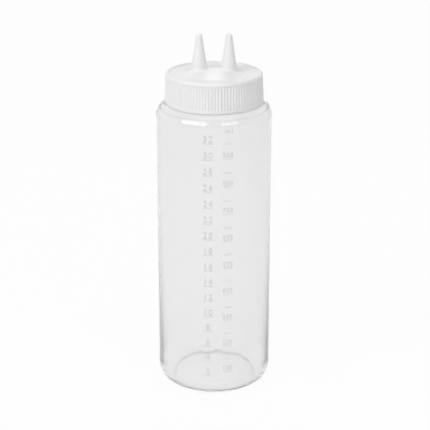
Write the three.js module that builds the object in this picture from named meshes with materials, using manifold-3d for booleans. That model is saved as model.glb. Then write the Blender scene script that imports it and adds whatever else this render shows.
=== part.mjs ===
// Wide-mouth squeeze bottle with a screw cap that carries two dispensing nozzles.
// Millimetres, +Z up. The origin is the centre of the base, on the surface it stands on.
// The graduated side of the bottle faces -Y and the nozzles stand side by side along X.
import * as THREE from 'three';
import { mergeVertices } from 'three/addons/utils/BufferGeometryUtils.js';
import Module from 'manifold-3d';

const wasm = await Module();
wasm.setup();

// Bottle shell
const bodyDiameter = 82.5;
const bodyWall = 1.3;
const rollProud = 0.2; // how far the shoulder roll and the base roll stand out past the wall
const rollEase = 3; // height over which each roll runs into the wall
const shoulderHeight = 204.6; // where the shoulder roll meets the straight wall
const shoulderRadius = 10.4;
const shoulderSweep = 64; // degrees of roll before the flat ledge under the cap
const shoulderWidth = 10.75; // from the straight wall in to the neck
const baseCornerRadius = 13;
const baseRollHeight = 19; // where the lower roll meets the straight wall
const baseThickness = 1.7;
const standingRingWidth = 3.6;
const pushUpHeight = 4.2;
const pushUpLip = 1.2; // rise of the steep step just inside the standing ring

// Neck
const neckWall = 1.8;
const neckHeight = 19.1; // above the shoulder ledge
const neckFillet = 1.2;
const lipRound = 0.5;

// Graduations
const tickProud = 0.35;
const tickHeight = 0.8;
const tickRoot = 0.6; // how deep a tick is rooted in the wall
const scaleClearance = 6; // the scale ends this far below the shoulder
const ounceTicks = { zero: 6.6, first: 2, step: 2, litres: 0.0295735, azimuth: -6.2, width: 7.5 };
const litreTicks = { zero: 1, first: 0.1, step: 0.05, litres: 1.02, azimuth: 13.5, width: 5.6 };

// Cap shell
const capHeight = 21.5;
const skirtWall = 2.9; // at the lower edge
const capDraft = 0.85; // how much the radius shrinks from the lower edge to the top
const capTopWall = 2;
const skirtClearance = 1.9; // room for the threads between neck and skirt
const capEdgeRound = 1.6;
const capLowerRound = 0.4;
const rimWidth = 0.9;
const rimDepth = 0.6; // how far the top disc lies below the rim

// Grip ribs, which run between two plain bands that stand a hair proud of them
const ribCount = 100;
const ribDepth = 0.5;
const ribInset = 0.1;
const ribCrest = 0.7; // width of a rib at its crest
const ribRoot = 1.4; // and at its foot
const lowerBand = 1.9;
const upperBand = 0.6; // below the rounded top edge
const bandSlope = 0.4; // height over which a band falls away between the ribs

// Dome and nozzles
const domeDiameter = 41.6;
const domeHeight = 3.4;
const domeFillet = 1.6;
const domeWall = 1.8;
const nozzleSpacing = 21;
const nozzleHeight = 27.3; // above the cap's rim
const nozzleRootDiameter = 10.9;
const nozzleTipDiameter = 4.5;
const nozzleTipRound = 0.8;
const nozzleFillet = 1.8;
const nozzleLean = 7; // degrees at which the rounded foot and tip meet the taper
const boreRootDiameter = 7.4;
const boreTipDiameter = 2.6;

// Seal ring that plugs the neck
const seatGap = 0.3; // clearance between the cap and the neck
const sealDepth = 4;
const sealWall = 1.2;
const sealTaper = 0.3;

// Fineness of the round surfaces
const bottleSegments = 64;
const capSegments = ribCount / 2;
const nozzleSegments = 24;
const arcStep = 15; // degrees for each facet of a large arc in a profile
const edgeStep = 30; // and of a small rounded edge

// Sizes worked out from the ones above
const radians = THREE.MathUtils.degToRad;
const bodyRadius = bodyDiameter / 2;
const rollRadius = bodyRadius + rollProud;
const shoulderCentre = rollRadius - shoulderRadius;
const ledgeHeight = shoulderHeight + shoulderRadius * Math.sin(radians(shoulderSweep));
const neckRadius = bodyRadius - shoulderWidth;
const neckBore = neckRadius - neckWall;
const lipHeight = ledgeHeight + neckHeight;
const discUnder = lipHeight + seatGap;
const discTop = discUnder + capTopWall;
const rimTop = discTop + rimDepth;
const capBottom = rimTop - capHeight;
const skirtBore = neckRadius + skirtClearance;
const capRadius = skirtBore + skirtWall;
const capTopRadius = capRadius - capDraft;
const skirtLean = Math.atan2(capDraft, capHeight - capEdgeRound - capLowerRound);
const ribLow = capBottom + lowerBand;
const ribHigh = rimTop - capEdgeRound - upperBand;
const domeRadius = domeDiameter / 2;
const domeTop = discTop + domeHeight;
const domeSphere = (domeRadius ** 2 + domeHeight ** 2) / (2 * domeHeight);

// Points of an arc in the radius and height plane, from one angle to another in degrees
function arc(centreRadius, centreHeight, radius, from, to, step = arcStep) {
  const count = Math.max(1, Math.ceil(Math.abs(to - from) / step));
  return Array.from({ length: count + 1 }, (_, i) => {
    const angle = radians(from + ((to - from) * i) / count);
    return [centreRadius + radius * Math.cos(angle), centreHeight + radius * Math.sin(angle)];
  });
}

// A solid of revolution about Z from an outline of [radius, height] points
function revolve(outline, segments) {
  const points = outline.map(([radius, height]) => new THREE.Vector2(radius, height));
  return new THREE.LatheGeometry(points, segments).rotateX(Math.PI / 2);
}

// A closed solid that can be joined and cut, from a geometry
function toSolid(geometry) {
  const bare = geometry.clone();
  bare.deleteAttribute('normal');
  bare.deleteAttribute('uv');
  const merged = mergeVertices(bare, 1e-4);
  const corners = merged.index.array;
  const faces = [];
  for (let i = 0; i < corners.length; i += 3) {
    const [a, b, c] = [corners[i], corners[i + 1], corners[i + 2]];
    if (a !== b && b !== c && c !== a) faces.push(a, b, c);
  }
  const build = (triVerts) => new wasm.Manifold(new wasm.Mesh({
    numProp: 3,
    vertProperties: new Float32Array(merged.attributes.position.array),
    triVerts: new Uint32Array(triVerts),
  }));
  const solid = build(faces);
  return solid.volume() > 0 ? solid : build(faces.reverse());
}

function toGeometry(solid) {
  const { vertProperties, triVerts } = solid.getMesh();
  const geometry = new THREE.BufferGeometry();
  geometry.setAttribute('position', new THREE.BufferAttribute(vertProperties, 3));
  geometry.setIndex(new THREE.BufferAttribute(triVerts, 1));
  geometry.computeVertexNormals();
  return geometry;
}

// Outside of the bottle, from the middle of the base up to the lip
function bottleOutside() {
  const cornerCentre = rollRadius - baseCornerRadius;
  const ringInner = cornerCentre - standingRingWidth;
  return [
    [0, pushUpHeight],
    [ringInner * 0.45, pushUpHeight * 0.88],
    [ringInner * 0.8, pushUpHeight * 0.6],
    [ringInner - pushUpLip, pushUpLip],
    [ringInner, 0],
    ...arc(cornerCentre, baseCornerRadius, baseCornerRadius, -90, 0),
    [rollRadius, baseRollHeight - rollEase],
    [bodyRadius, baseRollHeight],
    [bodyRadius, shoulderHeight - rollEase],
    ...arc(shoulderCentre, shoulderHeight, shoulderRadius, 0, shoulderSweep),
    ...arc(neckRadius + neckFillet, ledgeHeight + neckFillet, neckFillet, 270, 180, edgeStep),
    ...arc(neckRadius - lipRound, lipHeight - lipRound, lipRound, 0, 90, edgeStep),
  ];
}

// Inside of the bottle, from the lip down to the middle of the base
function bottleInside() {
  const bore = bodyRadius - bodyWall;
  const cornerInner = baseCornerRadius - baseThickness;
  const cornerCentre = bore - cornerInner;
  const ringInner = rollRadius - baseCornerRadius - standingRingWidth;
  const shoulderInner = shoulderRadius - bodyWall;
  const reach = Math.acos((neckBore + neckFillet - (bore - shoulderInner)) / shoulderInner);
  const sweep = THREE.MathUtils.radToDeg(reach);
  const ceiling = shoulderHeight + shoulderInner * Math.sin(reach);
  return [
    [neckBore, lipHeight - lipRound],
    [neckBore, ceiling + neckFillet],
    ...arc(bore - shoulderInner, shoulderHeight, shoulderInner, sweep, 0),
    ...arc(cornerCentre, baseCornerRadius, cornerInner, 0, -90),
    [ringInner - pushUpLip, pushUpLip + baseThickness],
    [ringInner * 0.8, pushUpHeight * 0.6 + baseThickness],
    [0, pushUpHeight + baseThickness],
  ];
}

// Height that a volume in litres fills in the straight bore
function filledHeight(litres) {
  return (litres * 1e6) / (Math.PI * (bodyRadius - bodyWall) ** 2);
}

// One raised graduation, a short bar that follows the wall
function tick(height, { azimuth, width }) {
  const half = width / 2 / bodyRadius;
  const middle = radians(azimuth - 90);
  const bar = new THREE.Shape();
  bar.absarc(0, 0, bodyRadius + tickProud, middle - half, middle + half, false);
  bar.absarc(0, 0, bodyRadius - tickRoot, middle + half, middle - half, true);
  bar.closePath();
  const extrusion = { depth: tickHeight, bevelEnabled: false, curveSegments: 3 };
  return new THREE.ExtrudeGeometry(bar, extrusion).translate(0, 0, height - tickHeight / 2);
}

// Heights of one column's graduations, as many as the straight wall has room for.
// A column counts from its own zero height, in units of so many litres.
function tickHeights({ zero, first, step, litres }) {
  const heights = [];
  let height = zero + filledHeight(first * litres);
  while (height < shoulderHeight - scaleClearance) {
    heights.push(height);
    height = zero + filledHeight((first + heights.length * step) * litres);
  }
  return heights;
}

// Both columns of the scale, which end level with each other
function graduations() {
  const ounces = tickHeights(ounceTicks);
  const litres = tickHeights(litreTicks);
  litres[litres.length - 1] = ounces[ounces.length - 1];
  return [
    ...ounces.map((height) => tick(height, ounceTicks)),
    ...litres.map((height) => tick(height, litreTicks)),
  ];
}

function bottle() {
  let solid = toSolid(revolve([...bottleOutside(), ...bottleInside()], bottleSegments));
  for (const bar of graduations()) solid = solid.add(toSolid(bar));
  return toGeometry(solid);
}

// Radius of the skirt's outside at a height
function skirtAt(height) {
  return capRadius - Math.tan(skirtLean) * (height - capBottom - capLowerRound);
}

// Outside of the cap, from the top of the dome down to the lower edge
function capOutside() {
  const edge = Math.asin(domeRadius / domeSphere);
  const degrees = THREE.MathUtils.radToDeg(edge);
  const rimOuter = capTopRadius - capEdgeRound;
  return [
    [0, domeTop],
    ...[0.3, 0.6, 0.85].map((share) => [
      domeSphere * Math.sin(edge * share),
      domeTop - domeSphere * (1 - Math.cos(edge * share)),
    ]),
    ...arc(domeRadius + domeFillet * Math.sin(edge), discTop + domeFillet, domeFillet, 270 - degrees, 270),
    [rimOuter - rimWidth - rimDepth / 2, discTop],
    [rimOuter - rimWidth, rimTop],
    ...arc(rimOuter, rimTop - capEdgeRound, capEdgeRound, 90, 0, edgeStep),
    [skirtAt(ribHigh), ribHigh],
    [skirtAt(ribHigh) - ribDepth, ribHigh - bandSlope],
    [skirtAt(ribLow) - ribDepth, ribLow + bandSlope],
    [skirtAt(ribLow), ribLow],
    ...arc(capRadius - capLowerRound, capBottom + capLowerRound, capLowerRound, 0, -90, edgeStep * 2),
  ];
}

// Inside of the cap: skirt bore, seal ring and the hollow under the dome
function capInside() {
  const sealOuter = neckBore - seatGap;
  const sealInner = sealOuter - sealWall;
  const sealEnd = discUnder - sealDepth;
  const sphere = domeSphere - domeWall;
  const sphereCentre = domeTop - domeSphere;
  const hollowEdge = Math.acos((discUnder - sphereCentre) / sphere);
  return [
    [skirtBore + capLowerRound, capBottom],
    [skirtBore, capBottom + capLowerRound],
    [skirtBore, discUnder - capLowerRound],
    [skirtBore - capLowerRound, discUnder],
    [sealOuter, discUnder],
    [sealOuter, sealEnd + sealWall],
    [sealOuter - sealTaper, sealEnd],
    [sealInner + sealTaper, sealEnd],
    [sealInner, discUnder],
    ...[1, 0.7, 0.35].map((share) => [
      sphere * Math.sin(hollowEdge * share),
      sphereCentre + sphere * Math.cos(hollowEdge * share),
    ]),
    [0, domeTop - domeWall],
  ];
}

// Height of the dome's surface at the nozzles
function domeAt(distance) {
  return domeTop - domeSphere + Math.sqrt(domeSphere ** 2 - distance ** 2);
}

// One nozzle without its bore: a flared foot, a straight taper and a rounded tip
function nozzleOutside() {
  const foot = domeAt(nozzleSpacing / 2);
  const top = rimTop + nozzleHeight;
  const root = nozzleRootDiameter / 2;
  const tip = nozzleTipDiameter / 2;
  return [
    [0, foot - domeWall / 2],
    [root + nozzleFillet, foot - domeWall / 2],
    ...arc(root + nozzleFillet, foot + nozzleFillet, nozzleFillet, 270, 180 + nozzleLean, edgeStep),
    ...arc(tip - nozzleTipRound, top - nozzleTipRound, nozzleTipRound, nozzleLean, 90, edgeStep),
    [0, top],
  ];
}

// The bore runs through the dome's wall and out of the tip
function nozzleBore() {
  const foot = domeAt(nozzleSpacing / 2) - domeWall;
  const top = rimTop + nozzleHeight;
  return [
    [0, foot - domeWall],
    [boreRootDiameter / 2, foot - domeWall],
    [boreRootDiameter / 2, foot],
    [boreTipDiameter / 2, top],
    [boreTipDiameter / 2, top + nozzleTipRound],
    [0, top + nozzleTipRound],
  ];
}

// One grip rib, rooted in the skirt and leaning with its draft
function rib(index) {
  const outline = new THREE.Shape();
  outline.moveTo(-2 * ribDepth, -ribRoot / 2);
  outline.lineTo(-ribDepth, -ribRoot / 2);
  outline.lineTo(0, -ribCrest / 2);
  outline.lineTo(0, ribCrest / 2);
  outline.lineTo(-ribDepth, ribRoot / 2);
  outline.lineTo(-2 * ribDepth, ribRoot / 2);
  outline.closePath();
  return new THREE.ExtrudeGeometry(outline, { depth: ribHigh - ribLow, bevelEnabled: false })
    .rotateY(-skirtLean)
    .translate(skirtAt(ribLow) - ribInset, 0, ribLow)
    .rotateZ((2 * Math.PI * (index + 0.5)) / ribCount);
}

function cap() {
  let solid = toSolid(revolve([...capOutside(), ...capInside()], capSegments));
  const sides = [-nozzleSpacing / 2, nozzleSpacing / 2];
  for (const side of sides) {
    solid = solid.add(toSolid(revolve(nozzleOutside(), nozzleSegments).translate(side, 0, 0)));
  }
  for (const side of sides) {
    solid = solid.subtract(toSolid(revolve(nozzleBore(), nozzleSegments).translate(side, 0, 0)));
  }
  for (let i = 0; i < ribCount; i += 1) solid = solid.add(toSolid(rib(i)));
  return toGeometry(solid);
}

const translucentPlastic = new THREE.MeshStandardMaterial({
  name: 'bottle plastic', color: '#eef0f2', roughness: 0.35, metalness: 0, transparent: true, opacity: 0.6,
});
const whitePlastic = new THREE.MeshStandardMaterial({
  name: 'cap plastic', color: '#f2f3f5', roughness: 0.4, metalness: 0,
});

function part(name, geometry, material) {
  const mesh = new THREE.Mesh(geometry, material);
  mesh.name = name;
  return mesh;
}

const squeezeBottle = new THREE.Group();
squeezeBottle.add(part('bottle', bottle(), translucentPlastic));
squeezeBottle.add(part('cap', cap(), whitePlastic));

export default squeezeBottle;
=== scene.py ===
import math

import bpy
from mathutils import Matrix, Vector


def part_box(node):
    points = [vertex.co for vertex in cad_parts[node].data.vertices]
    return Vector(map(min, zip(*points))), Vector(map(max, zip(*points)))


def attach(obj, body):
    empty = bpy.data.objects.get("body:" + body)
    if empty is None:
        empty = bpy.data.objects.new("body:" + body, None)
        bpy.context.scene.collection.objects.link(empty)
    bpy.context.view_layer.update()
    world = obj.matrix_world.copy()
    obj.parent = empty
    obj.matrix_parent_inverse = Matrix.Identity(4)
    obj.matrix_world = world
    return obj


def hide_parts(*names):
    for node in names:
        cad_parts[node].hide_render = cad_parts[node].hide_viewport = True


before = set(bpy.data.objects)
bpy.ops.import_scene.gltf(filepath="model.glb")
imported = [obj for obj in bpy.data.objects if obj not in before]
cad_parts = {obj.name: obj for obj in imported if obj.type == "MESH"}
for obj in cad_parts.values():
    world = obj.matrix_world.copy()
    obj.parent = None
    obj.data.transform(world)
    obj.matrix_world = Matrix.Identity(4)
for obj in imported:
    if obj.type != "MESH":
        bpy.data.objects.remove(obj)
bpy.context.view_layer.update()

# Sizes in metres. Those of a solid come from the frame, the rest are real sizes in millimetres times MM.
MM = 0.001
TURN = 2 * math.pi
MERGE = 1e-6  # points nearer than this are one point
SLIVER = 5e-6  # and faces thinner than this go after a join or a cut

bottle_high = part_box("bottle")[1]
cap_low, cap_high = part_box("cap")

# The bottle's shell
SHELL_STEPS = 320
CREASE_ANGLE = 35
ROLL_PROUD = 0.2 * MM
ROLL_EASE = 3 * MM
WALL = 1.3 * MM
ROLL_RADIUS = bottle_high[0]
BODY_RADIUS = ROLL_RADIUS - ROLL_PROUD
LIP_HEIGHT = bottle_high[2]
SHOULDER_HEIGHT = 204.6 * MM
SHOULDER_RADIUS = 10.4 * MM
SHOULDER_SWEEP = 64
PARTING_ANGLE = 40
PARTING_PROUD = 0.2 * MM
PARTING_CREST = 1
PARTING_SPREAD = 2.6
HEEL_END = 72
CORNER_RADIUS = 13 * MM
LOWER_ROLL = 19 * MM
BASE_THICKNESS = 1.7 * MM
STANDING_RADIUS = 30.8 * MM
PUSH_UP_RADIUS = 28.4 * MM
PUSH_UP_STEP = 2.9 * MM
PUSH_UP = 4.2 * MM

# Its neck
NECK_RADIUS = 30.5 * MM
NECK_BORE = NECK_RADIUS - 1.8 * MM
NECK_FILLET = 1.2 * MM
LIP_ROUND = 0.5 * MM
LEDGE_HEIGHT = SHOULDER_HEIGHT + SHOULDER_RADIUS * math.sin(math.radians(SHOULDER_SWEEP))

# The threads of neck and cap
THREAD_STEPS = 120
THREAD_PITCH = 5 * MM
THREAD_TURNS = 1.6
THREAD_DEPTH = 1.25 * MM
THREAD_ROOT = 2.6 * MM
THREAD_CREST = 1.1 * MM
THREAD_SEAT = 0.4 * MM
NECK_THREAD_START = LEDGE_HEIGHT + 6.5 * MM

# The raised scale: heights where each column would read nothing, volumes, and places round the wall
OUNCE_ZERO, OUNCE_LITRES = 6.6 * MM, 0.0295735
LITRE_ZERO, LITRE_SHARE = 1 * MM, 1.02
FULL_OUNCES, FULL_MILLILITRES = 32, 950
MARK_PROUD = 0.33 * MM
MARK_ROOT = 0.3 * MM
TICK_HEIGHT = 1.15 * MM
OUNCE_AZIMUTH, OUNCE_TICK = -6.2, 7.5 * MM
LITRE_AZIMUTH, LITRE_TICK = 13.5, 5.6 * MM
NUMERAL_SIZE = 6.4 * MM
LITRE_NUMERAL_SIZE = 5.4 * MM
LITRE_NUMERAL_WIDTH = 0.78
NUMERAL_ADVANCE = 0.62
NUMERAL_LIFT = 1.1 * MM
UNIT_AZIMUTH, UNIT_HEIGHT = 15.5, 202.6 * MM
# Radii where the raised marks begin; this mask carries the marks' painted shade and their rougher skin
MASK_START, MASK_END = 0.02 * MM, 0.09 * MM

# The cap's skirt and top
CAP_BOTTOM = cap_low[2]
CAP_HEIGHT = 21.5 * MM
RIM_TOP = CAP_BOTTOM + CAP_HEIGHT
CAP_RADIUS = 35.3 * MM
CAP_DRAFT = 0.85 * MM
EDGE_ROUND = 1.6 * MM
LOWER_ROUND = 0.4 * MM
RIM_WIDTH = 0.9 * MM
RIM_DEPTH = 0.6 * MM
TOP_WALL = 2 * MM
DISC_TOP = RIM_TOP - RIM_DEPTH
DISC_UNDER = DISC_TOP - TOP_WALL
SKIRT_BORE = NECK_RADIUS + 1.9 * MM
CAP_CREASE_ANGLE = 40
CAP_THREAD_START = CAP_BOTTOM + 4 * MM

# The ribs: each takes six columns of vertices, pushed in by a share of the depth
RIBS = 100
RIB_COLUMNS = (0, 0, 0.55, 1, 1, 0.55)
RIB_DEPTH = 0.65 * MM
LOWER_BAND = 1.9 * MM
UPPER_BAND = 0.6 * MM
GROOVE_END = ((0, 0), (0.25 * MM, 0.55), (0.6 * MM, 0.9), (1.1 * MM, 1))

# The dome and the seal ring under it
TOP_STEPS = 160
DOME_RADIUS = 20.8 * MM
DOME_HEIGHT = 3.4 * MM
DOME_FILLET = 1.6 * MM
DOME_WALL = 1.8 * MM
DOME_TOP = DISC_TOP + DOME_HEIGHT
DOME_SPHERE = (DOME_RADIUS ** 2 + DOME_HEIGHT ** 2) / (2 * DOME_HEIGHT)
DOME_EDGE = math.asin(DOME_RADIUS / DOME_SPHERE)
SEAL_GAP = 0.3 * MM
SEAL_DEPTH = 4 * MM
SEAL_WALL = 1.2 * MM
SEAL_TAPER = 0.3 * MM

# The nozzles
NOZZLE_STEPS, BORE_STEPS = 96, 48
NOZZLE_OFFSET = 10.5 * MM
NOZZLE_TOP = cap_high[2]
NOZZLE_ROOT = 5.45 * MM
NOZZLE_TIP = 2.25 * MM
TIP_ROUND = 1.3 * MM
NOZZLE_FILLET = 2.6 * MM
NOZZLE_LEAN = 7
BORE_ROOT = 3.7 * MM
BORE_TIP = 0.9 * MM

# Light and camera
WORLD_LIGHT = 0.42
ROOM_LIGHT = 0.56
FLOOR_SHADOW = 0.045

CAMERA_DISTANCE = 970.5 * MM
CAMERA_HEIGHT = 481.6 * MM
CAMERA_SIDE = 0.65 * MM
CAMERA_PITCH = 20.0
FOCAL_PIXELS = 1410
FRAME_PIXELS = 430
SENSOR = 36


def arc(centre_radius, centre_height, radius, start, end, step=6):
    """Points of an arc in the radius and height plane, between two angles in degrees."""
    count = max(1, math.ceil(abs(end - start) / step))
    angles = [math.radians(start + (end - start) * i / count) for i in range(count + 1)]
    return [(centre_radius + radius * math.cos(a), centre_height + radius * math.sin(a)) for a in angles]


def start_alone():
    if bpy.context.object and bpy.context.object.mode != "OBJECT":
        bpy.ops.object.mode_set(mode="OBJECT")
    bpy.ops.object.select_all(action="DESELECT")


def draw_outline(name, points):
    """A chain of edges in the XZ plane, drawn from a single vertex."""
    start_alone()
    bpy.ops.mesh.primitive_plane_add(size=MM)
    piece = bpy.context.object
    piece.name = piece.data.name = name
    bpy.ops.object.mode_set(mode="EDIT")
    bpy.ops.mesh.merge(type="CENTER")
    bpy.ops.transform.translate(value=(points[0][0], 0, points[0][1]))
    for (r0, z0), (r1, z1) in zip(points, points[1:]):
        bpy.ops.mesh.extrude_vertices_move(TRANSFORM_OT_translate={"value": (r1 - r0, 0, z1 - z0)})
    return piece


def turn_outline(name, points, steps, closed=False):
    """A closed solid of revolution. The outline ends on the axis at both ends, or is a closed loop."""
    piece = draw_outline(name, points + points[:1] if closed else points)
    bpy.ops.mesh.select_all(action="SELECT")
    bpy.ops.mesh.spin(steps=steps, angle=TURN, center=(0, 0, 0), axis=(0, 0, 1))
    tidy_faces()
    bpy.ops.object.mode_set(mode="OBJECT")
    return piece


def tidy_faces(threshold=MERGE):
    bpy.ops.mesh.select_all(action="SELECT")
    bpy.ops.mesh.remove_doubles(threshold=threshold)
    bpy.ops.mesh.normals_make_consistent(inside=False)


def drop_slivers(piece):
    """Closes the hair-thin faces that joining and cutting solids can leave."""
    use(piece)
    bpy.ops.object.mode_set(mode="EDIT")
    tidy_faces(SLIVER)
    bpy.ops.mesh.dissolve_degenerate(threshold=SLIVER)
    tidy_faces()
    bpy.ops.object.mode_set(mode="OBJECT")


def use(piece):
    start_alone()
    piece.select_set(True)
    bpy.context.view_layer.objects.active = piece


def settle(piece):
    """Applies the object's place, so that the place is in the mesh."""
    use(piece)
    bpy.ops.object.transform_apply(location=True, rotation=True, scale=True)


def smooth(piece, angle):
    use(piece)
    bpy.ops.object.shade_smooth_by_angle(angle=math.radians(angle))


def join(pieces):
    use(pieces[0])
    for piece in pieces[1:]:
        piece.select_set(True)
    if len(pieces) > 1:
        bpy.ops.object.join()
    return bpy.context.object


def combine(piece, tool, operation):
    """Adds or cuts a closed piece, which is then deleted."""
    use(piece)
    modifier = piece.modifiers.new("combine", "BOOLEAN")
    modifier.object = tool
    modifier.operation = operation
    modifier.solver = "EXACT"
    modifier.use_self = False
    bpy.ops.object.modifier_apply(modifier="combine")
    bpy.data.objects.remove(tool)


def copy_at(piece, name, place=(0, 0, 0)):
    copy = piece.copy()
    copy.data = piece.data.copy()
    copy.name = copy.data.name = name
    bpy.context.collection.objects.link(copy)
    copy.location = place
    settle(copy)
    return copy


def thread(name, radius, start_height, direction):
    """A screw thread's ridge: outward on the neck, inward in the skirt."""
    seat = radius - direction * THREAD_SEAT
    crest = radius + direction * THREAD_DEPTH
    section = [
        (seat, -THREAD_ROOT / 2),
        (seat, THREAD_ROOT / 2),
        (crest, THREAD_CREST / 2),
        (crest, -THREAD_CREST / 2),
    ]
    piece = draw_outline(name, [(r, z + start_height) for r, z in section])
    bpy.ops.mesh.select_all(action="SELECT")
    bpy.ops.mesh.edge_face_add()
    bpy.ops.object.mode_set(mode="OBJECT")
    screw = piece.modifiers.new("screw", "SCREW")
    screw.angle = TURN * THREAD_TURNS
    screw.screw_offset = THREAD_PITCH * THREAD_TURNS
    screw.steps = screw.render_steps = THREAD_STEPS
    screw.use_merge_vertices = False
    use(piece)
    bpy.ops.object.modifier_apply(modifier="screw")
    bpy.ops.object.mode_set(mode="EDIT")
    bpy.ops.mesh.select_mode(type="EDGE")
    bpy.ops.mesh.select_all(action="DESELECT")
    bpy.ops.mesh.select_non_manifold(extend=False, use_wire=True, use_boundary=True, use_multi_face=False)
    bpy.ops.mesh.fill_holes(sides=4)
    bpy.ops.mesh.select_mode(type="VERT")
    tidy_faces()
    bpy.ops.object.mode_set(mode="OBJECT")
    return piece


def parting_crest(centre_radius, centre_height, angle, radius):
    """The crest of the fine ridge that the mould's parting leaves across a rounded edge."""
    crest = radius + PARTING_PROUD
    turns = [math.radians(angle + turn) for turn in (-PARTING_CREST, PARTING_CREST)]
    return [(centre_radius + crest * math.cos(a), centre_height + crest * math.sin(a)) for a in turns]


def bottle_outline():
    corner = ROLL_RADIUS - CORNER_RADIUS
    roll = ROLL_RADIUS - SHOULDER_RADIUS
    bore = BODY_RADIUS - WALL
    inner_corner = CORNER_RADIUS - BASE_THICKNESS
    inner_shoulder = SHOULDER_RADIUS - WALL
    reach = math.degrees(math.acos((NECK_BORE + NECK_FILLET - bore + inner_shoulder) / inner_shoulder))
    ceiling = SHOULDER_HEIGHT + inner_shoulder * math.sin(math.radians(reach))
    first, last = PARTING_ANGLE - PARTING_SPREAD, PARTING_ANGLE + PARTING_SPREAD
    underside = [
        (PUSH_UP_RADIUS * share, PUSH_UP - (PUSH_UP - PUSH_UP_STEP) * share ** 2)
        for share in (0, 0.25, 0.5, 0.75, 0.9)
    ]
    outside = [
        *underside,
        (PUSH_UP_RADIUS - 0.5 * MM, PUSH_UP_STEP),
        (PUSH_UP_RADIUS, PUSH_UP_STEP - 0.3 * MM),
        (STANDING_RADIUS - 0.8 * MM, 0.35 * MM),
        (STANDING_RADIUS - 0.35 * MM, 0.08 * MM),
        (STANDING_RADIUS, 0),
        (STANDING_RADIUS + 0.6 * MM, 0.18 * MM),
        *arc(corner, CORNER_RADIUS, CORNER_RADIUS, -HEEL_END, -last),
        *parting_crest(corner, CORNER_RADIUS, -PARTING_ANGLE, CORNER_RADIUS),
        *arc(corner, CORNER_RADIUS, CORNER_RADIUS, -first, 0),
        (ROLL_RADIUS, LOWER_ROLL - ROLL_EASE),
        (ROLL_RADIUS - ROLL_PROUD * 0.5, LOWER_ROLL - ROLL_EASE * 0.5),
        (BODY_RADIUS, LOWER_ROLL),
        (BODY_RADIUS, SHOULDER_HEIGHT - ROLL_EASE),
        (ROLL_RADIUS - ROLL_PROUD * 0.5, SHOULDER_HEIGHT - ROLL_EASE * 0.5),
        *arc(roll, SHOULDER_HEIGHT, SHOULDER_RADIUS, 0, first),
        *parting_crest(roll, SHOULDER_HEIGHT, PARTING_ANGLE, SHOULDER_RADIUS),
        *arc(roll, SHOULDER_HEIGHT, SHOULDER_RADIUS, last, SHOULDER_SWEEP),
        *arc(NECK_RADIUS + NECK_FILLET, LEDGE_HEIGHT + NECK_FILLET, NECK_FILLET, 270, 180, 18),
        *arc(NECK_RADIUS - LIP_ROUND, LIP_HEIGHT - LIP_ROUND, LIP_ROUND, 0, 90, 18),
    ]
    inside = [
        *arc(NECK_BORE + LIP_ROUND, LIP_HEIGHT - LIP_ROUND, LIP_ROUND, 90, 180, 18),
        *arc(NECK_BORE + NECK_FILLET, ceiling + NECK_FILLET, -NECK_FILLET, 0, 90, 18),
        *arc(bore - inner_shoulder, SHOULDER_HEIGHT, inner_shoulder, reach, 0),
        *arc(bore - inner_corner, CORNER_RADIUS, inner_corner, 0, -HEEL_END),
        (STANDING_RADIUS, BASE_THICKNESS),
        (STANDING_RADIUS - 0.6 * MM, BASE_THICKNESS + 0.3 * MM),
        (PUSH_UP_RADIUS + 0.4 * MM, PUSH_UP_STEP + BASE_THICKNESS - 0.4 * MM),
        (PUSH_UP_RADIUS - 0.3 * MM, PUSH_UP_STEP + BASE_THICKNESS),
        *[(radius, height + BASE_THICKNESS) for radius, height in reversed(underside)],
    ]
    return outside + inside


def filled_height(litres):
    """Height that a volume fills in the straight bore."""
    return litres * MM / (math.pi * (BODY_RADIUS - WALL) ** 2)


def tick_bar(width):
    """One raised bar that follows the wall, centred on the front at height zero."""
    low = BODY_RADIUS - MARK_ROOT
    half = TICK_HEIGHT / 2
    bulge = [
        (BODY_RADIUS + MARK_PROUD * math.cos(math.radians(a)), half * math.sin(math.radians(a)))
        for a in (75, 50, 25, 0, -25, -50, -75)
    ]
    face = [(low, -half), (low, half), *bulge]
    piece = draw_outline("tick", face)
    bpy.ops.mesh.select_all(action="SELECT")
    bpy.ops.mesh.edge_face_add()
    bpy.ops.mesh.spin(steps=8, angle=width / BODY_RADIUS, center=(0, 0, 0), axis=(0, 0, 1))
    tidy_faces()
    bpy.ops.object.mode_set(mode="OBJECT")
    piece.rotation_euler = (0, 0, math.radians(-90) + width / BODY_RADIUS / 2)
    settle(piece)
    return piece


def place_mark(piece, azimuth, height):
    piece.location = (0, 0, height)
    piece.rotation_euler = (0, 0, math.radians(azimuth))
    settle(piece)
    return piece


def character(letter, size, width):
    """One raised letter or figure at the front of the wall."""
    start_alone()
    bpy.ops.object.text_add()
    piece = bpy.context.object
    piece.data.body = letter
    piece.data.size = size
    piece.data.align_x = "CENTER"
    piece.data.resolution_u = 3
    piece.data.extrude = (MARK_PROUD + MARK_ROOT) / 2
    bpy.ops.object.convert(target="MESH")
    piece = bpy.context.object
    piece.location = (0, -(BODY_RADIUS + (MARK_PROUD - MARK_ROOT) / 2), 0)
    piece.rotation_euler = (math.radians(90), 0, 0)
    piece.scale = (width, 1, 1)
    settle(piece)
    bpy.ops.object.mode_set(mode="EDIT")
    tidy_faces()
    bpy.ops.object.mode_set(mode="OBJECT")
    return piece


def lettering(words, azimuth, height, size, width=1):
    """Characters in a row round the wall, each square to it, that stand on one height."""
    advance = math.degrees(size * width * NUMERAL_ADVANCE / BODY_RADIUS)
    start = azimuth - advance * (len(words) - 1) / 2
    return [
        place_mark(character(letter, size, width), start + advance * i, height)
        for i, letter in enumerate(words)
    ]


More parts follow.
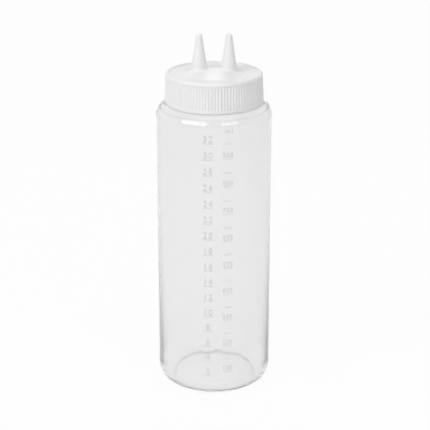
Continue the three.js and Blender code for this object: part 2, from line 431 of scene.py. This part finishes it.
def graduations():
    """The two columns of ticks and figures: ounces on the left and millilitres on the right."""
    marks = []
    wide, short = tick_bar(OUNCE_TICK), tick_bar(LITRE_TICK)
    for ounces in range(2, FULL_OUNCES + 1, 2):
        height = OUNCE_ZERO + filled_height(ounces * OUNCE_LITRES)
        marks.append(place_mark(copy_at(wide, "ounce_tick"), OUNCE_AZIMUTH, height))
        marks.extend(lettering(str(ounces), OUNCE_AZIMUTH, height + NUMERAL_LIFT, NUMERAL_SIZE))
    full_height = height
    for millilitres in range(100, FULL_MILLILITRES + 1, 50):
        height = LITRE_ZERO + filled_height(millilitres / 1000 * LITRE_SHARE)
        if millilitres == FULL_MILLILITRES:
            height = full_height
        marks.append(place_mark(copy_at(short, "millilitre_tick"), LITRE_AZIMUTH, height))
        if millilitres % 100 == 0:
            marks.extend(lettering(str(millilitres), LITRE_AZIMUTH, height + NUMERAL_LIFT,
                                   LITRE_NUMERAL_SIZE, LITRE_NUMERAL_WIDTH))
    marks.extend(lettering("ml", UNIT_AZIMUTH, UNIT_HEIGHT, LITRE_NUMERAL_SIZE))
    for spare in (wide, short):
        bpy.data.objects.remove(spare)
    return join(marks)


def make_bottle():
    bottle = turn_outline("bottle_shell", bottle_outline(), SHELL_STEPS)
    scale = graduations()
    combine(bottle, scale, "UNION")
    neck_thread = thread("neck_thread", NECK_RADIUS, NECK_THREAD_START, 1)
    combine(bottle, neck_thread, "UNION")
    smooth(bottle, CREASE_ANGLE)
    return bottle


def skirt_at(height):
    """Radius of the skirt's outside at a height."""
    lean = CAP_DRAFT / (CAP_HEIGHT - EDGE_ROUND - LOWER_ROUND)
    return CAP_RADIUS - lean * (height - CAP_BOTTOM - LOWER_ROUND)


def groove_rows():
    """Heights of the rib zone with the share of the groove's depth at each, from the top down."""
    low, high = CAP_BOTTOM + LOWER_BAND, RIM_TOP - EDGE_ROUND - UPPER_BAND
    top = [(high - drop, share) for drop, share in GROOVE_END]
    foot = [(low + rise, share) for rise, share in reversed(GROOVE_END)]
    return top + foot


def select_none(piece):
    use(piece)
    bpy.ops.object.mode_set(mode="EDIT")
    bpy.ops.mesh.select_all(action="DESELECT")
    bpy.ops.object.mode_set(mode="OBJECT")


def select_ring(piece, height, columns):
    """Selects the skirt's outer vertices at a height whose column in the rib is one of these."""
    steps = RIBS * len(RIB_COLUMNS)
    for vertex in piece.data.vertices:
        x, y, z = vertex.co
        column = round(math.atan2(y, x) / TURN * steps) % len(RIB_COLUMNS)
        outer = math.hypot(x, y) > SKIRT_BORE + MM
        vertex.select = outer and abs(z - height) < MERGE * 10 and column in columns


def make_skirt():
    rim_outer = CAP_RADIUS - CAP_DRAFT - EDGE_ROUND
    rows = groove_rows()
    outline = [
        (rim_outer - RIM_WIDTH - RIM_DEPTH / 2, DISC_TOP - MM * 0.5),
        (rim_outer - RIM_WIDTH - RIM_DEPTH / 2, DISC_TOP + 0.1 * MM),
        (rim_outer - RIM_WIDTH - RIM_DEPTH * 0.2, RIM_TOP - 0.1 * MM),
        (rim_outer - RIM_WIDTH, RIM_TOP),
        *arc(rim_outer, RIM_TOP - EDGE_ROUND, EDGE_ROUND, 90, 0, 12),
        *[(skirt_at(height), height) for height, share in rows],
        *arc(CAP_RADIUS - LOWER_ROUND, CAP_BOTTOM + LOWER_ROUND, LOWER_ROUND, 0, -90, 22),
        (SKIRT_BORE + LOWER_ROUND, CAP_BOTTOM),
        (SKIRT_BORE, CAP_BOTTOM + LOWER_ROUND),
        (SKIRT_BORE, DISC_UNDER - LOWER_ROUND),
        (SKIRT_BORE - LOWER_ROUND, DISC_UNDER),
        (SKIRT_BORE - LOWER_ROUND * 3, DISC_UNDER),
        (SKIRT_BORE - LOWER_ROUND * 3, DISC_TOP - MM * 0.5),
    ]
    skirt = turn_outline("cap_skirt", outline, RIBS * len(RIB_COLUMNS), closed=True)
    for height, share in rows:
        if not share:
            continue
        for depth in sorted(set(RIB_COLUMNS) - {0}):
            columns = [i for i, value in enumerate(RIB_COLUMNS) if value == depth]
            select_none(skirt)
            select_ring(skirt, height, columns)
            bpy.ops.object.mode_set(mode="EDIT")
            shrink = 1 - RIB_DEPTH * depth * share / skirt_at(height)
            bpy.ops.transform.resize(value=(shrink, shrink, 1), center_override=(0, 0, height))
            bpy.ops.object.mode_set(mode="OBJECT")
    return skirt


def make_top():
    """Disc, dome and seal ring in one turned piece."""
    sphere_centre = DOME_TOP - DOME_SPHERE
    edge = math.degrees(DOME_EDGE)
    inner_sphere = DOME_SPHERE - DOME_WALL
    hollow = math.degrees(math.acos((DISC_UNDER - sphere_centre) / inner_sphere))
    seal_outer = NECK_BORE - SEAL_GAP
    seal_inner = seal_outer - SEAL_WALL
    seal_end = DISC_UNDER - SEAL_DEPTH
    reach = CAP_RADIUS - CAP_DRAFT - EDGE_ROUND - RIM_WIDTH
    fillet_centre = DOME_RADIUS + DOME_FILLET * math.sin(DOME_EDGE)
    outline = [
        (0, DOME_TOP),
        *arc(0, sphere_centre, DOME_SPHERE, 89, 90 - edge, 1.5),
        *arc(fillet_centre, DISC_TOP + DOME_FILLET, DOME_FILLET, 270 - edge, 270, 4),
        (reach, DISC_TOP),
        (reach, DISC_UNDER + 0.2 * MM),
        (seal_outer + 0.3 * MM, DISC_UNDER),
        (seal_outer, DISC_UNDER - 0.3 * MM),
        (seal_outer, seal_end + SEAL_WALL),
        (seal_outer - SEAL_TAPER, seal_end),
        (seal_inner + SEAL_TAPER, seal_end),
        (seal_inner, seal_end + SEAL_TAPER * 2),
        (seal_inner, DISC_UNDER),
        *arc(0, sphere_centre, inner_sphere, 90 - hollow, 89, 3),
        (0, DOME_TOP - DOME_WALL),
    ]
    return turn_outline("cap_shell", outline, TOP_STEPS)


def dome_at(distance):
    return DOME_TOP - DOME_SPHERE + math.sqrt(DOME_SPHERE ** 2 - distance ** 2)


def lean_ring(piece, radius, height, centre, angle):
    """Turns one ring of vertices, so that it leans sideways."""
    select_none(piece)
    for vertex in piece.data.vertices:
        x, y, z = vertex.co
        vertex.select = abs(z - height) < MERGE * 2 and abs(math.hypot(x, y) - radius) < MERGE * 2
    bpy.ops.object.mode_set(mode="EDIT")
    bpy.ops.transform.rotate(value=angle, orient_axis="Y", center_override=(0, 0, centre))
    bpy.ops.object.mode_set(mode="OBJECT")


def make_nozzle(foot):
    """One tapered nozzle. The rings of its flared foot lean with the dome, less and less upward."""
    slope = math.degrees((NOZZLE_ROOT + NOZZLE_FILLET) / DOME_SPHERE)
    flare = arc(NOZZLE_ROOT + NOZZLE_FILLET, 0, NOZZLE_FILLET, 270 - slope, 180 + NOZZLE_LEAN, 8)
    end, low = flare[0]
    sink = foot - end ** 2 / (2 * DOME_SPHERE) - low
    flare = [(radius, height + sink) for radius, height in flare]
    root = flare[0][1] - DOME_WALL / 3
    nozzle = turn_outline("nozzle", [
        (0, root),
        (end, root),
        *flare,
        *arc(NOZZLE_TIP - TIP_ROUND, NOZZLE_TOP - TIP_ROUND, TIP_ROUND, NOZZLE_LEAN, 90, 12),
        (0, NOZZLE_TOP),
    ], NOZZLE_STEPS)
    lean = -math.asin(NOZZLE_OFFSET / DOME_SPHERE)
    lean_ring(nozzle, end, root, foot, lean)
    for i, (radius, height) in enumerate(flare[:-1]):
        lean_ring(nozzle, radius, height, foot, lean * (1 - i / (len(flare) - 1)))
    return nozzle


def add_nozzles(top):
    """Two nozzles, each bored through the dome. The left one is the right one turned round."""
    foot = dome_at(NOZZLE_OFFSET)
    bore = [
        (0, foot - DOME_WALL * 2),
        (BORE_ROOT, foot - DOME_WALL * 2),
        (BORE_ROOT, foot - DOME_WALL),
        (BORE_TIP, NOZZLE_TOP - 0.3 * MM),
        (BORE_TIP + 0.2 * MM, NOZZLE_TOP + 0.01 * MM),
        (BORE_TIP + 0.2 * MM, NOZZLE_TOP + MM),
        (0, NOZZLE_TOP + MM),
    ]
    nozzle = make_nozzle(foot)
    cutter = turn_outline("bore", bore, BORE_STEPS)
    for side in (NOZZLE_OFFSET, -NOZZLE_OFFSET):
        copy = copy_at(nozzle, "nozzle_copy")
        copy.rotation_euler = (0, 0, 0 if side > 0 else math.pi)
        copy.location = (side, 0, 0)
        settle(copy)
        combine(top, copy, "UNION")
    for side in (NOZZLE_OFFSET, -NOZZLE_OFFSET):
        combine(top, copy_at(cutter, "bore_copy", (side, 0, 0)), "DIFFERENCE")
    for spare in (nozzle, cutter):
        bpy.data.objects.remove(spare)
    drop_slivers(top)


def make_cap():
    top = make_top()
    add_nozzles(top)
    cap_thread = thread("cap_thread", SKIRT_BORE, CAP_THREAD_START, -1)
    cap = join([top, make_skirt(), cap_thread])
    smooth(cap, CAP_CREASE_ANGLE)
    return cap


class Value:
    """A shader socket that takes part in Python expressions; each operator adds its Math node."""

    def __init__(self, finish, socket):
        self.finish, self.socket = finish, socket

    def math(self, operation, first, second):
        settings, sockets = {"operation": operation}, {0: first, 1: second}
        return Value(self.finish, self.finish.node("ShaderNodeMath", settings, sockets))

    def __add__(self, other):
        return self.math("ADD", self, other)

    def __mul__(self, other):
        return self.math("MULTIPLY", self, other)

    def __sub__(self, other):
        return self.math("SUBTRACT", self, other)

    def __rsub__(self, other):
        return self.math("SUBTRACT", other, self)

    __radd__, __rmul__ = __add__, __mul__


class Finish:
    """A node tree for a material or the world. node() adds one node with its settings and sockets."""

    def __init__(self, owner):
        self.owner = owner
        owner.use_nodes = True
        self.tree = owner.node_tree
        self.tree.nodes.clear()

    def node(self, kind, settings=None, sockets=None, output=0):
        node = self.tree.nodes.new(kind)
        for name, value in (settings or {}).items():
            setattr(node, name, value)
        for name, value in (sockets or {}).items():
            if isinstance(value, Value):
                value = value.socket
            if isinstance(value, bpy.types.NodeSocket):
                self.tree.links.new(value, node.inputs[name])
            else:
                node.inputs[name].default_value = value
        return node.outputs[output] if len(node.outputs) else None

    def place(self, stretch=(1, 1, 1)):
        """Object coordinates, stretched for a pattern."""
        coordinates = self.node("ShaderNodeTexCoord", output="Object")
        return self.node("ShaderNodeMapping", {}, {"Vector": coordinates, "Scale": stretch})

    def noise(self, scale, detail=3, stretch=(1, 1, 1)):
        sockets = {"Vector": self.place(stretch), "Scale": scale, "Detail": detail}
        return Value(self, self.node("ShaderNodeTexNoise", {}, sockets))

    def tint(self, amount, first, second):
        """A colour between two, by an amount from 0 to 1."""
        sockets = {0: amount, 6: (*first, 1), 7: (*second, 1)}
        return self.node("ShaderNodeMix", {"data_type": "RGBA"}, sockets, 2)

    def seen(self):
        """1 for a ray that sees the background: from the camera, or by gloss or transmission."""
        rays = [
            Value(self, self.node("ShaderNodeLightPath", output=name))
            for name in ("Is Camera Ray", "Is Glossy Ray", "Is Transmission Ray")
        ]
        return rays[0].math("MAXIMUM", rays[0].math("MAXIMUM", rays[0], rays[1]), rays[2])

    def ramp(self, value, start, end):
        """0 at the start value and 1 at the end value, clamped."""
        sockets = {"Value": value, "From Min": start, "From Max": end}
        return Value(self, self.node("ShaderNodeMapRange", {}, sockets))

    def bump(self, height, distance):
        return self.node("ShaderNodeBump", {}, {"Height": height, "Distance": distance, "Strength": 1.0})

    def finish(self, shader):
        self.node("ShaderNodeOutputMaterial", {}, {"Surface": shader})
        return self.owner


def bottle_plastic():
    """Milky polyethylene: light passes through it, a little scattered by the blown skin.

    The raised marks carry painted shade: their faces that turn downward get a darker colour, standing in
    for the shade on their undersides.
    """
    finish = Finish(bpy.data.materials.new("bottle_plastic"))
    cloud = finish.noise(28, 2)
    skin = finish.noise(900, 2)
    flow = finish.noise(60, 3, (1, 1, 0.25))
    flat_place = finish.place((1, 1, 0))
    radius = finish.node("ShaderNodeVectorMath", {"operation": "LENGTH"}, {0: flat_place}, "Value")
    raised = finish.ramp(radius, ROLL_RADIUS + MASK_START, ROLL_RADIUS + MASK_END)
    normal = finish.node("ShaderNodeTexCoord", output="Normal")
    upward = finish.node("ShaderNodeSeparateXYZ", {}, {0: normal}, "Z")
    # Painted shade: the raised marks darken in colour where their faces turn downward
    painted_shade_share = finish.ramp(upward, 0.35, -0.1)
    clear = finish.tint(cloud, (0.988, 0.989, 0.995), (0.998, 0.998, 1.0))
    painted_mark_shade = (0.64, 0.65, 0.68, 1)
    sockets = {0: raised * painted_shade_share, 6: clear, 7: painted_mark_shade}
    colour = finish.node("ShaderNodeMix", {"data_type": "RGBA"}, sockets, 2)
    relief = skin * 0.25 + flow
    shader = finish.node("ShaderNodeBsdfPrincipled", {}, {
        "Base Color": colour,
        "Roughness": 0.07 + cloud * 0.05 + raised * 0.1,
        "IOR": 1.45,
        "Transmission Weight": 0.88,
        "Normal": finish.bump(relief, 0.00002),
    })
    return finish.finish(shader)


def cap_plastic():
    """White moulded polypropylene with a satin skin."""
    finish = Finish(bpy.data.materials.new("cap_plastic"))
    cloud = finish.noise(40, 2)
    grain = finish.noise(2600, 2)
    colour = finish.tint(cloud, (0.86, 0.86, 0.87), (0.90, 0.90, 0.91))
    shader = finish.node("ShaderNodeBsdfPrincipled", {}, {
        "Base Color": colour,
        "Roughness": 0.30 + grain * 0.12,
        "IOR": 1.49,
        "Subsurface Weight": 0.12,
        "Subsurface Radius": (0.002, 0.002, 0.002),
        "Normal": finish.bump(grain, 0.00001),
    })
    return finish.finish(shader)


def floor_finish():
    finish = Finish(bpy.data.materials.new("floor_white"))
    paper = finish.tint(finish.noise(6, 2), (0.86, 0.86, 0.86), (0.88, 0.88, 0.88))
    matte = finish.node("ShaderNodeBsdfDiffuse", {}, {"Color": paper})
    white = finish.node("ShaderNodeEmission", {}, {"Color": (1, 1, 1, 1), "Strength": 1.0})
    share = finish.seen() * (1 - FLOOR_SHADOW)
    shader = finish.node("ShaderNodeMixShader", {}, {0: share, 1: matte, 2: white})
    return finish.finish(shader)


def make_floor():
    start_alone()
    bpy.ops.mesh.primitive_plane_add(size=12)
    floor = bpy.context.object
    floor.name = "floor"
    floor.data.materials.append(floor_finish())


def make_world():
    """White behind the object and dimmer in front and above, as in a studio with a white backdrop."""
    world = bpy.data.worlds.new("studio")
    bpy.context.scene.world = world
    studio = Finish(world)
    direction = studio.node("ShaderNodeTexCoord", output="Generated")
    away = Value(studio, studio.node("ShaderNodeSeparateXYZ", {}, {0: direction}, "Y"))
    up = Value(studio, studio.node("ShaderNodeSeparateXYZ", {}, {0: direction}, "Z"))
    shade = Value(studio, studio.node("ShaderNodeMapRange", {"interpolation_type": "SMOOTHSTEP"}, {
        "Value": away - up * 0.6,
        "From Min": 0.1,
        "From Max": -0.5,
        "To Min": 1,
        "To Max": ROOM_LIGHT,
    }))
    seen = studio.seen()
    strength = seen * shade + (1 - seen) * WORLD_LIGHT
    background = studio.node("ShaderNodeBackground", {}, {"Color": (1, 1, 1, 1), "Strength": strength})
    studio.node("ShaderNodeOutputWorld", {}, {"Surface": background})


def lamp(name, place, aim, size, power):
    data = bpy.data.lights.new(name, "AREA")
    data.shape = "RECTANGLE"
    data.size, data.size_y = size
    data.energy = power
    light = bpy.data.objects.new(name, data)
    bpy.context.collection.objects.link(light)
    light.location = place
    direction = [a - p for a, p in zip(aim, place)]
    light.rotation_euler = (
        math.atan2(math.hypot(direction[0], direction[1]), -direction[2]), 0,
        math.atan2(direction[1], direction[0]) - math.pi / 2,
    )


def make_lights():
    middle = (0, 0, 0.14)
    lamp("key", (-1.25, -1.3, 1.35), middle, (2.0, 0.9), 19)
    lamp("fill", (0.9, -1.35, 1.25), middle, (1.1, 0.5), 4.5)
    lamp("top", (0, -0.3, 1.8), middle, (1.4, 1.4), 4.5)
    lamp("back", (0, 1.2, 1.75), middle, (0.35, 0.8), 3.2)


def make_camera():
    data = bpy.data.cameras.new("camera")
    data.sensor_width = SENSOR
    data.sensor_fit = "HORIZONTAL"
    data.lens = FOCAL_PIXELS / FRAME_PIXELS * SENSOR
    camera = bpy.data.objects.new("camera", data)
    bpy.context.collection.objects.link(camera)
    camera.location = (CAMERA_SIDE, -CAMERA_DISTANCE, CAMERA_HEIGHT)
    camera.rotation_euler = (math.radians(90 - CAMERA_PITCH), 0, 0)
    bpy.context.scene.camera = camera


make_camera()
bottle = make_bottle()
bottle.data.materials.clear()
bottle.data.materials.append(bottle_plastic())
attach(bottle, "bottle")
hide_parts("bottle")

cap = make_cap()
cap.data.materials.clear()
cap.data.materials.append(cap_plastic())
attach(cap, "cap")
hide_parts("cap")

make_floor()
make_world()
make_lights()

bpy.context.scene.view_settings.view_transform = "Standard"
